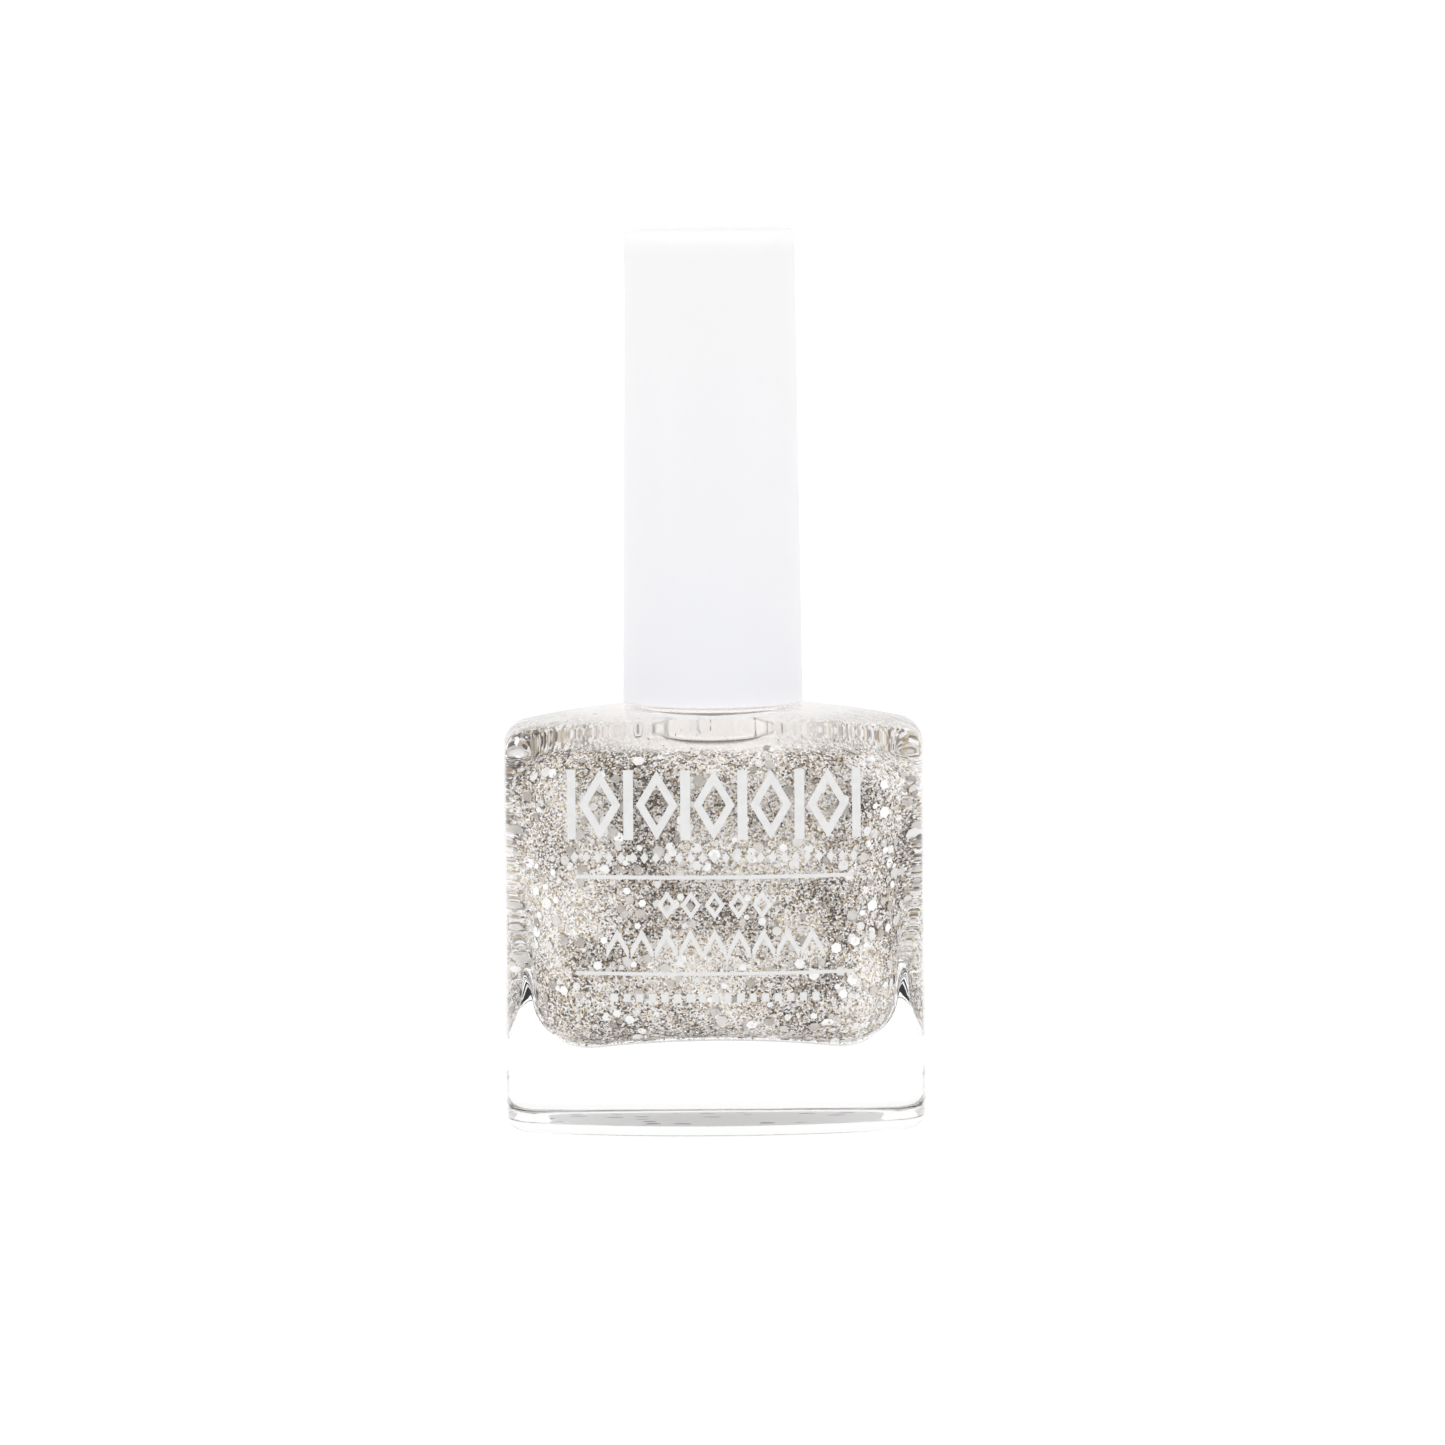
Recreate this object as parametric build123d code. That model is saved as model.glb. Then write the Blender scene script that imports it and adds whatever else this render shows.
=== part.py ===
from build123d import *
import math
import os

os.makedirs("parts", exist_ok=True)

# A nominal 13 ml nail polish bottle with a screw-on brush cap. Millimetres; the origin is the
# centre of the base's resting plane, +Z up, and the printed front faces -Y. Every closure part is
# on the Z axis.

# Glass body: plan of shallow arcs joined by round corners
BODY_WIDTH = 36.0
BODY_DEPTH = 25.4
FRONT_ARC_RADIUS = 40.0
SIDE_ARC_RADIUS = 60.0
CORNER_RADIUS = 3.6
BASE_EDGE_RADIUS = 1.2
SHOULDER_EDGE_RADIUS = 2.2
SHOULDER_APEX = 36.1
SHOULDER_DOME_RADIUS = 80.0

# Cavity in the glass: walls that thicken downwards and at the corners, between a domed floor and a
# domed roof. The inner corner radius, less an inset from the outside, is that of an inner plan.
INNER_CORNER_RADIUS = 8.5
WALL_TOP = 1.3
WALL_TOP_HEIGHT = 33.0
WALL_BOTTOM = 3.5
WALL_BOTTOM_HEIGHT = 9.0
FLOOR_APEX = 7.8
FLOOR_DOME_RADIUS = 55.0
FLOOR_EDGE_RADIUS = 4.4
ROOF_APEX = 33.8
ROOF_DOME_RADIUS = 90.0
ROOF_EDGE_RADIUS = 3.6
NECK_FLARE_RADIUS = 3.4

# Push-up in the base, with the shade sticker on its ceiling
PUSH_UP_INSET = 3.4
PUSH_UP_HEIGHT = 0.5
PUSH_UP_EDGE_RADIUS = 0.3
LABEL_INSET = 5.2
LABEL_THICKNESS = 0.12

# Neck finish
NECK_RADIUS = 5.35
NECK_BORE_RADIUS = 3.5
NECK_ROOT_RADIUS = 0.6
RIM_HEIGHT = 46.3
RIM_EDGE_RADIUS = 0.5

# Right-hand thread, 12 turns to the inch, shared by the neck and the inner cap
THREAD_PITCH = 25.4 / 12
THREAD_TURNS = 1.5
THREAD_FADE_TURNS = 0.12
THREAD_FOOT_DEPTH = 0.25
NECK_THREAD_CREST_RADIUS = 5.95
NECK_THREAD_START = 40.2
NECK_THREAD_WIDTHS = (1.15, 0.55)
CAP_THREAD_ROOT_RADIUS = 6.1
CAP_THREAD_CREST_RADIUS = 5.5
CAP_THREAD_START = NECK_THREAD_START - 0.5 * THREAD_PITCH
CAP_THREAD_WIDTHS = (0.95, 0.45)

# Contents
LACQUER_GAP = 0.1
FILL_HEIGHT = 33.46
BRUSH_WELL_RADIUS = 2.6
BRUSH_WELL_FLOOR = 9.8
BALL_RADIUS = 1.5
BALL_PLACES = ((10.0, -2.4), (8.8, 2.2))
BALL_SEAT_GAP = 0.02
BALL_POCKET_GAP = 0.15

# Brush: liner on the rim, then the collar, with the plug above it and the rod below
LINER_THICKNESS = 0.8
COLLAR_RADIUS = 5.0
COLLAR_THICKNESS = 1.0
PLUG_RADIUS = 2.4
PLUG_LENGTH = 4.6
ROD_TOP_RADIUS = 1.7
ROD_END_RADIUS = 1.5
ROD_END = 25.6
ROD_EDGE_RADIUS = 0.25
TUFT_SOCKET_RADIUS = 1.1
TUFT_SOCKET_DEPTH = 3.6
TUFT_TIP = 10.6
TUFT_RADIUS = 1.95
STAPLE_SIZE = (2.4, 0.3, 1.6)
RUNNING_GAP = 0.05

# Inner cap: threaded skirt, deck over the brush collar, socket for the plug
INNER_CAP_RADIUS = 6.7
INNER_CAP_BOTTOM = 36.5
DECK_THICKNESS = 1.1
DECK_GAP = 0.03
SOCKET_WALL = 1.1
SOCKET_ROOF = 1.2
GRIP_RIBS = 24
GRIP_RIB_SIZE = (0.08, 0.5)

# Overcap: tall tapered shell
CAP_BOTTOM = 35.88
CAP_TOP = 76.2
CAP_BOTTOM_RADIUS = 7.675
CAP_TOP_RADIUS = 7.225
CAP_WALL = 0.7
CAP_ROOF = 1.3
CAP_TOP_EDGE_RADIUS = 0.55
CAP_RIM_EDGE_RADIUS = 0.2
SNAP_BEAD_REACH = 0.25
STOP_RIBS = 6
STOP_RIB_SIZE = (1.2, 0.7)
STOP_RIB_LENGTH = 18.0

# Heights that follow from the rim upwards
LINER_TOP = RIM_HEIGHT + LINER_THICKNESS
COLLAR_TOP = LINER_TOP + COLLAR_THICKNESS
PLUG_TOP = COLLAR_TOP + PLUG_LENGTH
DECK_BOTTOM = COLLAR_TOP + DECK_GAP
DECK_TOP = DECK_BOTTOM + DECK_THICKNESS
SOCKET_TOP = PLUG_TOP + SOCKET_ROOF


def disc(radius, bottom, top):
    """A cylinder on the bottle's axis between two heights."""
    return Pos(0, 0, bottom) * extrude(Circle(radius), top - bottom)


def ring(outer_radius, inner_radius, bottom, top):
    """A tube on the bottle's axis between two heights."""
    return disc(outer_radius, bottom, top) - disc(inner_radius, bottom, top)


def turned(points):
    """A solid of revolution from (radius, height) points."""
    return revolve(Plane.XZ * make_face(Polyline(*points, close=True)), Axis.Z)


def body_plan(inset=0.0, corner_radius=CORNER_RADIUS):
    """The body's plan: front, back and side arcs with round corners, moved inwards by inset."""
    front_offset = FRONT_ARC_RADIUS - BODY_DEPTH / 2
    side_offset = SIDE_ARC_RADIUS - BODY_WIDTH / 2
    lens = Pos(0, front_offset) * Circle(FRONT_ARC_RADIUS - inset)
    lens &= Pos(0, -front_offset) * Circle(FRONT_ARC_RADIUS - inset)
    for side in (-1, 1):
        lens &= Pos(side * side_offset, 0) * Circle(SIDE_ARC_RADIUS - inset)
    plan = Sketch() + lens
    return fillet(plan.vertices(), corner_radius - inset)


def dome(apex, radius):
    """A ball whose highest point is on the axis at the height apex."""
    return Pos(0, 0, apex - radius) * Rot(90, 0, 0) * Sphere(radius)


def edges_between(solid, bottom, top, slack=0.01):
    """The solid's edges that lie wholly between two heights."""
    spans = [(edge, edge.bounding_box()) for edge in solid.edges()]
    return [
        edge
        for edge, box in spans
        if bottom - slack <= box.min.Z and box.max.Z <= top + slack
    ]


def thread_ridge(root_radius, crest_radius, start, widths):
    """A helical ridge on a wall of root_radius; its two ends run out under the wall's surface."""
    steps_per_turn = 16
    steps = round(THREAD_TURNS * steps_per_turn)
    fade_steps = THREAD_FADE_TURNS * steps_per_turn
    outward = math.copysign(1, crest_radius - root_radius)
    height = abs(crest_radius - root_radius)
    foot_half, crest_half = widths[0] / 2, widths[1] / 2
    sections = []
    for step in range(steps + 1):
        turn = step / steps_per_turn
        angle = 2 * math.pi * turn
        fade = min(1.0, min(step, steps - step) / fade_steps)
        crest = fade * height - (1 - fade) * THREAD_FOOT_DEPTH / 2
        radial = Vector(math.cos(angle), math.sin(angle), 0)
        along = Vector(-math.sin(angle), math.cos(angle), 0)
        origin = radial * root_radius + Vector(0, 0, start + THREAD_PITCH * turn)
        plane = Plane(origin=origin, x_dir=radial * outward, z_dir=along)
        profile = Polyline(
            (-THREAD_FOOT_DEPTH, -foot_half),
            (crest, -crest_half),
            (crest, crest_half),
            (-THREAD_FOOT_DEPTH, foot_half),
            close=True,
        )
        sections.append(plane * make_face(profile))
    return loft(sections)


def wall_thickness(height):
    """Thickness of the side walls at a height."""
    share = (WALL_TOP_HEIGHT - height) / (WALL_TOP_HEIGHT - WALL_BOTTOM_HEIGHT)
    return WALL_TOP + share * (WALL_BOTTOM - WALL_TOP)


def cavity(inset=0.0):
    """The space inside the glass, shrunk by inset on every wall."""
    ends = [
        Pos(0, 0, height) * body_plan(wall_thickness(height) + inset, INNER_CORNER_RADIUS)
        for height in (PUSH_UP_HEIGHT, SHOULDER_APEX)
    ]
    space = loft(ends, ruled=True) & dome(ROOF_APEX - inset, ROOF_DOME_RADIUS - inset)
    space -= dome(FLOOR_APEX + inset, FLOOR_DOME_RADIUS + inset)
    middle = (FLOOR_APEX + ROOF_APEX) / 2
    space = fillet(edges_between(space, 0, middle), FLOOR_EDGE_RADIUS - inset)
    space = fillet(edges_between(space, middle, ROOF_APEX), ROOF_EDGE_RADIUS - inset)
    return space


def flared_bore():
    """The neck's bore, opening in a bell mouth into the roof of the cavity."""
    mouth_radius = NECK_BORE_RADIUS + NECK_FLARE_RADIUS
    roof_drop = mouth_radius**2 / (2 * ROOF_DOME_RADIUS)
    mouth_height = ROOF_APEX - roof_drop
    bore_end = mouth_height + NECK_FLARE_RADIUS
    middle = mouth_radius - NECK_FLARE_RADIUS * math.cos(math.pi / 4)
    middle_height = bore_end - NECK_FLARE_RADIUS * math.sin(math.pi / 4)
    profile = Polyline(
        (mouth_radius, mouth_height), (mouth_radius, mouth_height - 1), (0, mouth_height - 1),
        (0, RIM_HEIGHT + 1), (NECK_BORE_RADIUS, RIM_HEIGHT + 1), (NECK_BORE_RADIUS, bore_end),
    )
    bell = ThreePointArc(
        (NECK_BORE_RADIUS, bore_end), (middle, middle_height), (mouth_radius, mouth_height)
    )
    return revolve(Plane.XZ * make_face(Curve() + [profile, bell]), Axis.Z)


def glass_bottle():
    """Heavy-based glass bottle with a threaded neck."""
    glass = extrude(body_plan(), SHOULDER_APEX + 1) & dome(SHOULDER_APEX, SHOULDER_DOME_RADIUS)
    glass = fillet(edges_between(glass, SHOULDER_APEX / 2, SHOULDER_APEX), SHOULDER_EDGE_RADIUS)
    glass = fillet(edges_between(glass, 0, 0), BASE_EDGE_RADIUS)

    push_up = extrude(body_plan(PUSH_UP_INSET, INNER_CORNER_RADIUS), PUSH_UP_HEIGHT)
    push_up = fillet(edges_between(push_up, PUSH_UP_HEIGHT, PUSH_UP_HEIGHT), PUSH_UP_EDGE_RADIUS)
    glass -= push_up

    glass += disc(NECK_RADIUS, ROOF_APEX, RIM_HEIGHT)
    root = [
        edge
        for edge in edges_between(glass, ROOF_APEX, SHOULDER_APEX)
        if abs(edge.center(CenterOf.BOUNDING_BOX).X) < NECK_RADIUS / 2
        and edge.bounding_box().size.X < 3 * NECK_RADIUS
    ]
    glass = fillet(root, NECK_ROOT_RADIUS)
    glass = fillet(edges_between(glass, RIM_HEIGHT, RIM_HEIGHT), RIM_EDGE_RADIUS)
    glass += thread_ridge(
        NECK_RADIUS, NECK_THREAD_CREST_RADIUS, NECK_THREAD_START, NECK_THREAD_WIDTHS
    )
    return glass - cavity() - flared_bore()


def ball_centre(place):
    """Where a ball's centre is when it rests on the domed floor at a place in plan."""
    reach = FLOOR_DOME_RADIUS + BALL_RADIUS + BALL_SEAT_GAP
    height = math.sqrt(reach**2 - place[0] ** 2 - place[1] ** 2)
    return Pos(place[0], place[1], FLOOR_APEX - FLOOR_DOME_RADIUS + height)


def lacquer():
    """The glitter lacquer, filling the cavity to its fill height round the brush and the balls."""
    fill = cavity(LACQUER_GAP) & disc(BODY_WIDTH, 0, FILL_HEIGHT)
    fill -= disc(BRUSH_WELL_RADIUS, BRUSH_WELL_FLOOR, FILL_HEIGHT + 1)
    for place in BALL_PLACES:
        fill -= ball_centre(place) * Sphere(BALL_RADIUS + BALL_POCKET_GAP)
    return fill


def mixing_balls():
    """Loose steel balls that stir the lacquer when the bottle is shaken."""
    return Part() + [ball_centre(place) * Sphere(BALL_RADIUS) for place in BALL_PLACES]


def base_label():
    """Sticker on the ceiling of the push-up."""
    return Pos(0, 0, PUSH_UP_HEIGHT - LABEL_THICKNESS) * extrude(
        body_plan(LABEL_INSET, INNER_CORNER_RADIUS), LABEL_THICKNESS
    )


def sealing_liner():
    """Soft washer between the glass rim and the brush collar."""
    return ring(COLLAR_RADIUS, ROD_TOP_RADIUS + RUNNING_GAP, RIM_HEIGHT, LINER_TOP)


def brush_stem():
    """Moulded rod with its collar and the plug that snaps into the inner cap."""
    lead_in = 0.4
    stem = turned([
        (0, ROD_END),
        (ROD_END_RADIUS, ROD_END),
        (ROD_TOP_RADIUS, RIM_HEIGHT - THREAD_TURNS * THREAD_PITCH),
        (ROD_TOP_RADIUS, LINER_TOP),
        (COLLAR_RADIUS, LINER_TOP),
        (COLLAR_RADIUS, COLLAR_TOP),
        (PLUG_RADIUS, COLLAR_TOP),
        (PLUG_RADIUS, PLUG_TOP - lead_in),
        (PLUG_RADIUS - lead_in, PLUG_TOP),
        (0, PLUG_TOP),
    ])
    stem = fillet(edges_between(stem, ROD_END, ROD_END), ROD_EDGE_RADIUS)
    return stem - disc(TUFT_SOCKET_RADIUS, ROD_END, ROD_END + TUFT_SOCKET_DEPTH)


def bristle_tuft():
    """The bundle of bristles as one solid: a root in the rod's socket and a full, round-tipped body."""
    root_radius = TUFT_SOCKET_RADIUS - RUNNING_GAP
    root_top = ROD_END + TUFT_SOCKET_DEPTH - RUNNING_GAP
    free_length = ROD_END - TUFT_TIP
    outline = Spline(
        (root_radius, ROD_END),
        (TUFT_RADIUS * 0.86, ROD_END - 0.3 * free_length),
        (TUFT_RADIUS, ROD_END - 0.65 * free_length),
        (TUFT_RADIUS * 0.72, TUFT_TIP + 0.08 * free_length),
        (0, TUFT_TIP),
        tangents=((0.15, -1), (-1, 0)),
    )
    core = Polyline((0, TUFT_TIP), (0, root_top), (root_radius, root_top), (root_radius, ROD_END))
    return revolve(Plane.XZ * make_face(Curve() + [outline, core]), Axis.Z)


def anchor_staple():
    """Flat metal staple across the bristle root, its two ends biting into the rod."""
    middle = ROD_END + TUFT_SOCKET_DEPTH / 2
    return Pos(0, 0, middle) * Box(*STAPLE_SIZE)


def inner_cap():
    """Threaded closure that carries the brush and is gripped by the overcap."""
    socket_radius = PLUG_RADIUS + RUNNING_GAP
    cap = ring(INNER_CAP_RADIUS, CAP_THREAD_ROOT_RADIUS, INNER_CAP_BOTTOM, DECK_BOTTOM)
    cap += disc(INNER_CAP_RADIUS, DECK_BOTTOM, DECK_TOP)
    cap += disc(socket_radius + SOCKET_WALL, DECK_TOP, SOCKET_TOP)
    cap -= disc(socket_radius, DECK_BOTTOM, PLUG_TOP + RUNNING_GAP)
    cap += thread_ridge(
        CAP_THREAD_ROOT_RADIUS, CAP_THREAD_CREST_RADIUS, CAP_THREAD_START, CAP_THREAD_WIDTHS
    )
    reach, width = GRIP_RIB_SIZE
    rib = Pos(INNER_CAP_RADIUS, 0, INNER_CAP_BOTTOM) * extrude(
        Rectangle(2 * reach, width), DECK_TOP - INNER_CAP_BOTTOM
    )
    for number in range(GRIP_RIBS):
        cap += Rot(0, 0, number * 360 / GRIP_RIBS) * rib
    return cap


def overcap():
    """Tall decorative shell pushed over the inner cap, with stop ribs and a snap bead inside."""
    taper = (CAP_BOTTOM_RADIUS - CAP_TOP_RADIUS) / (CAP_TOP - CAP_BOTTOM)
    ceiling = CAP_TOP - CAP_ROOF

    def outside(height):
        return CAP_BOTTOM_RADIUS - taper * (height - CAP_BOTTOM)

    shell = turned([
        (0, CAP_BOTTOM), (outside(CAP_BOTTOM), CAP_BOTTOM), (outside(CAP_TOP), CAP_TOP), (0, CAP_TOP),
    ])
    shell = fillet(edges_between(shell, CAP_TOP, CAP_TOP), CAP_TOP_EDGE_RADIUS)
    shell = fillet(edges_between(shell, CAP_BOTTOM, CAP_BOTTOM), CAP_RIM_EDGE_RADIUS)
    hollow = turned([
        (0, CAP_BOTTOM), (outside(CAP_BOTTOM) - CAP_WALL, CAP_BOTTOM),
        (outside(ceiling) - CAP_WALL, ceiling), (0, ceiling),
    ])
    shell -= hollow

    bead_radius = INNER_CAP_RADIUS - SNAP_BEAD_REACH
    bead_bottom = CAP_BOTTOM + CAP_RIM_EDGE_RADIUS
    bead_top = INNER_CAP_BOTTOM - RUNNING_GAP
    shell += ring(outside(CAP_BOTTOM) - CAP_WALL / 2, bead_radius, bead_bottom, bead_top)

    depth, width = STOP_RIB_SIZE
    rib_outside = CAP_TOP_RADIUS - CAP_WALL / 4
    rib_inside = outside(ceiling) - CAP_WALL - depth
    rib = Pos((rib_inside + rib_outside) / 2, 0, DECK_TOP + RUNNING_GAP) * extrude(
        Rectangle(rib_outside - rib_inside, width), STOP_RIB_LENGTH
    )
    for number in range(STOP_RIBS):
        shell += Rot(0, 0, number * 360 / STOP_RIBS) * rib
    return shell


PIECES = {
    "glass_bottle": glass_bottle,
    "lacquer": lacquer,
    "mixing_balls": mixing_balls,
    "base_label": base_label,
    "sealing_liner": sealing_liner,
    "brush_stem": brush_stem,
    "bristle_tuft": bristle_tuft,
    "anchor_staple": anchor_staple,
    "inner_cap": inner_cap,
    "overcap": overcap,
}

for node, build in PIECES.items():
    export_step(build(), f"parts/{node}.step")
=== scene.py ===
import math
import random

import bpy
import numpy as np
from mathutils import Matrix, Vector


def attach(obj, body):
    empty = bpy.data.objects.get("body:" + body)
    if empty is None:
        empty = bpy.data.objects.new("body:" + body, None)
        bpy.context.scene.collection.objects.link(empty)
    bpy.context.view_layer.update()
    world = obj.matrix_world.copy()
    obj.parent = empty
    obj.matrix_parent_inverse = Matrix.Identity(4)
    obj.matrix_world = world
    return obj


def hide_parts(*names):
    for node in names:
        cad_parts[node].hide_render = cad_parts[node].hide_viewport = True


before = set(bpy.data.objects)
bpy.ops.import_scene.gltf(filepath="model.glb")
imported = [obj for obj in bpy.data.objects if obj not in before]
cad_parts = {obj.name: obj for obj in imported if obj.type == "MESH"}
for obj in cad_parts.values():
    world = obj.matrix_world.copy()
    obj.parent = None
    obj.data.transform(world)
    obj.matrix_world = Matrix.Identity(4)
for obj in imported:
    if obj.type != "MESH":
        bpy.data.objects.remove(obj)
bpy.context.view_layer.update()

# Looks for a 13 ml glitter nail polish bottle. Sizes below are millimetres, apart from the
# studio's; MM turns them into the frame's metres. The printed front faces -Y, and every part of the
# closure is on the Z axis.
MM = 0.001
SEED = 7

# Glass, as in the CAD
BODY_WIDTH = 36.0
BODY_DEPTH = 25.4
FRONT_ARC_RADIUS = 40.0
SIDE_ARC_RADIUS = 60.0
CORNER_RADIUS = 3.6
BASE_EDGE_RADIUS = 1.2
SHOULDER_EDGE_RADIUS = 2.2
SHOULDER_APEX = 36.1
SHOULDER_DOME_RADIUS = 80.0
INNER_CORNER_RADIUS = 8.5
WALL_BOTTOM = 3.5
WALL_BOTTOM_HEIGHT = 9.0
WALL_TOP = 1.3
WALL_TOP_HEIGHT = 33.0
FLOOR_APEX = 7.8
FLOOR_DOME_RADIUS = 55.0
FLOOR_EDGE_RADIUS = 4.4
ROOF_APEX = 33.8
ROOF_DOME_RADIUS = 90.0
ROOF_EDGE_RADIUS = 3.6
NECK_FLARE_RADIUS = 3.4
PUSH_UP_INSET = 3.4
PUSH_UP_HEIGHT = 0.5
PUSH_UP_EDGE_RADIUS = 0.3
LABEL_CONTACT = 0.01
NECK_RADIUS = 5.35
NECK_BORE_RADIUS = 3.5
NECK_ROOT_RADIUS = 0.6
RIM_HEIGHT = 46.3
RIM_EDGE_RADIUS = 0.5
SOFT_EDGE_RADIUS = 0.15
THREAD_PITCH = 25.4 / 12
THREAD_TURNS = 1.5
THREAD_FADE_TURNS = 0.12
THREAD_FOOT_DEPTH = 0.25
THREAD_CREST_RADIUS = 5.95
THREAD_START = 40.2
THREAD_WIDTHS = (1.15, 0.55)
THREAD_ROW_STEP = 0.07
FRONT_COLUMNS, CORNER_COLUMNS, SIDE_COLUMNS = 34, 26, 16
CAVITY_EDGE_STEPS = 14
SEAT_ROUNDS = 30

# Contents. A meniscus is its height and the distance over which it dies away.
FILL_HEIGHT = 33.46
SHORE_RADIUS = math.sqrt(ROOF_DOME_RADIUS**2 - (FILL_HEIGHT - ROOF_APEX + ROOF_DOME_RADIUS) ** 2)
SURFACE_DROP = 0.28
STEM_MENISCUS = (0.34, 0.35)
SHORE_MENISCUS = (0.30, 0.45)
GLITTER_DEPTH = 0.22
STEM_RADIUS = 1.66
ROD_END = 25.6
TUFT_TIP = 10.6
TUFT_RADIUS = 1.95
TUFT_ROOT_RADIUS = 0.95
TUFT_ROOT_TOP = 28.9
POLE_RADIUS = 0.4

# Modelled flakes. They are fewer above a height, where the lacquer has cleared.
HEX_FLAKES = {"count": 850, "radii": (0.26, 0.54), "thickness": 0.02, "lift": 0.14, "tilt": 0.10}
FINE_FLAKES = {
    "count": 9000, "radii": (0.055, 0.13), "thickness": 0.01, "lift": 0.16, "tilt": 0.45,
}
FLAKE_CLEARANCE = 0.03
FLAKE_SIZE_BIAS = 1.6
FIRST_SEAT_ROW = 20
LACQUER_MIDDLE = (0, 0, 20.0)
THINNED_ABOVE = 31.0
THINNED_SHARE = 0.3

# Bristles
FILAMENTS = 230
FILAMENT_SIDES = 5
FILAMENT_JOINTS = 10
GOLDEN_ANGLE = math.pi * (3 - math.sqrt(5))
TUFT_CLEARANCE = 0.12
SWELL_END = 0.6
TAPER_START = 0.72
TAPER = 0.55
SLIM_START = 0.8

# Print: ink, then each row's height, its marks' pitch and their half width and half height
INK_THICKNESS = 0.03
INK_BURY = 0.02
BAR_STEP = 0.6
FRIEZE = {"height": 28.15, "pitch": 4.8, "half": (1.75, 2.95), "line": 0.42}
FRIEZE_BARS = {"inner": 0.42, "outer": 0.36}
DOTS = {"height": 23.7, "pitch": 0.98, "half": (0.34, 0.5)}
LOZENGES = {"height": 19.7, "pitch": 2.0, "half": (0.85, 1.2), "line": 0.5}
CHEVRONS = {"height": 16.4, "pitch": 2.05, "half": (0.95, 1.3), "line": 0.85}
DASHES = {"pitch": 1.06, "half": 0.3, "heights": (11.5, 12.2)}
RULE_HALF = 11.7
RULES = ((21.88, 22.22), (13.75, 14.05))


# ---------------------------------------------------------------- plan of the body

def quarter_plan(corner_radius):
    """Columns of the front right quarter, as (arc centre x, y, radius, angle of the normal)."""
    front = Vector((0, FRONT_ARC_RADIUS - BODY_DEPTH / 2))
    side = Vector((BODY_WIDTH / 2 - SIDE_ARC_RADIUS, 0))
    reach_front = FRONT_ARC_RADIUS - corner_radius
    reach_side = SIDE_ARC_RADIUS - corner_radius
    between = side - front
    along = (reach_front**2 - reach_side**2 + between.length_squared) / (2 * between.length)
    off = math.sqrt(reach_front**2 - along**2)
    unit = between.normalized()
    corner = front + unit * along + Vector((-unit.y, unit.x)) * off
    start = -math.pi / 2
    first = math.atan2(corner.y - front.y, corner.x - front.x)
    second = math.atan2(corner.y - side.y, corner.x - side.x)
    columns = []
    for centre, radius, low, high, count in (
        (front, FRONT_ARC_RADIUS, start, first, FRONT_COLUMNS),
        (corner, corner_radius, first, second, CORNER_COLUMNS),
        (side, SIDE_ARC_RADIUS, second, 0.0, SIDE_COLUMNS),
    ):
        for step in range(count):
            angle = low + (high - low) * step / count
            columns.append((centre.x, centre.y, radius, angle))
    columns.append((side.x, side.y, SIDE_ARC_RADIUS, 0.0))
    return columns


def whole_plan(corner_radius):
    """All columns round the body, anticlockwise from the front centre, as arc centres, radii and
    normals."""
    quarter = quarter_plan(corner_radius)
    right = quarter + [(x, -y, r, -a) for x, y, r, a in reversed(quarter[:-1])]
    left = [(-x, y, r, math.pi - a) for x, y, r, a in reversed(right[1:-1])]
    columns = np.array(right + left)
    normals = np.stack([np.cos(columns[:, 3]), np.sin(columns[:, 3])], 1)
    return columns[:, :2], columns[:, 2], normals


OUTSIDE = whole_plan(CORNER_RADIUS)
INSIDE = whole_plan(INNER_CORNER_RADIUS)
COLUMNS = len(OUTSIDE[1])


def plan(inset=0.0, shape=OUTSIDE):
    """A plan's points, moved inwards by inset."""
    centres, radii, normals = shape
    return centres + (radii - inset)[:, None] * normals


SPOKES = plan() / np.linalg.norm(plan(), axis=1)[:, None]
TURNS = np.mod(np.arctan2(SPOKES[:, 1], SPOKES[:, 0]) / (2 * math.pi), 1.0)


def flat_row(points, height):
    """A row of 3D points from plan points and a height or heights."""
    return np.column_stack([points, np.broadcast_to(height, len(points))])


def round_row(radius, height):
    """A circular row about the axis."""
    return flat_row(SPOKES * np.reshape(radius, (-1, 1)), height)


def dome_height(points, apex, radius):
    """Height of a dome over plan points."""
    return apex - radius + np.sqrt(radius**2 - (points**2).sum(1))


def swing(centres, radius, start, end, steps):
    """Rows on balls about the centres, turning from one unit direction to another."""
    cosine = np.clip((start * end).sum(1), -1, 1)
    angle = np.arccos(cosine)[:, None]
    rows = []
    for step in range(steps + 1):
        share = step / steps
        a = np.sin((1 - share) * angle) / np.sin(angle)
        b = np.sin(share * angle) / np.sin(angle)
        rows.append(centres + radius * (a * start + b * end))
    return rows


WALL_SLOPE = (WALL_BOTTOM - WALL_TOP) / (WALL_TOP_HEIGHT - WALL_BOTTOM_HEIGHT)


def dome_fillet(inset, radius, apex, dome_radius, convex, steps, shape=OUTSIDE, slope=0.0):
    """Rows rolling from the wall to a dome above it (convex) or below it. The inset is the
    wall's at no height, and falls by slope for each millimetre up."""
    lean = math.atan(slope)
    reach = dome_radius - radius if convex else dome_radius + radius
    heights = np.full(COLUMNS, apex)
    for _ in range(SEAT_ROUNDS):
        touch = heights - radius * math.sin(lean)
        moved = inset - slope * touch + radius * math.cos(lean)
        seat = shape[0] + (shape[1] - moved)[:, None] * shape[2]
        heights = apex - dome_radius + np.sqrt(reach**2 - (seat**2).sum(1))
    centres = flat_row(seat, heights)
    away = centres - np.array([0, 0, apex - dome_radius])
    away /= np.linalg.norm(away, axis=1)[:, None]
    wall = flat_row(shape[2] * math.cos(lean), -math.sin(lean))
    return swing(centres, radius, wall, away if convex else -away, steps)


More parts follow.
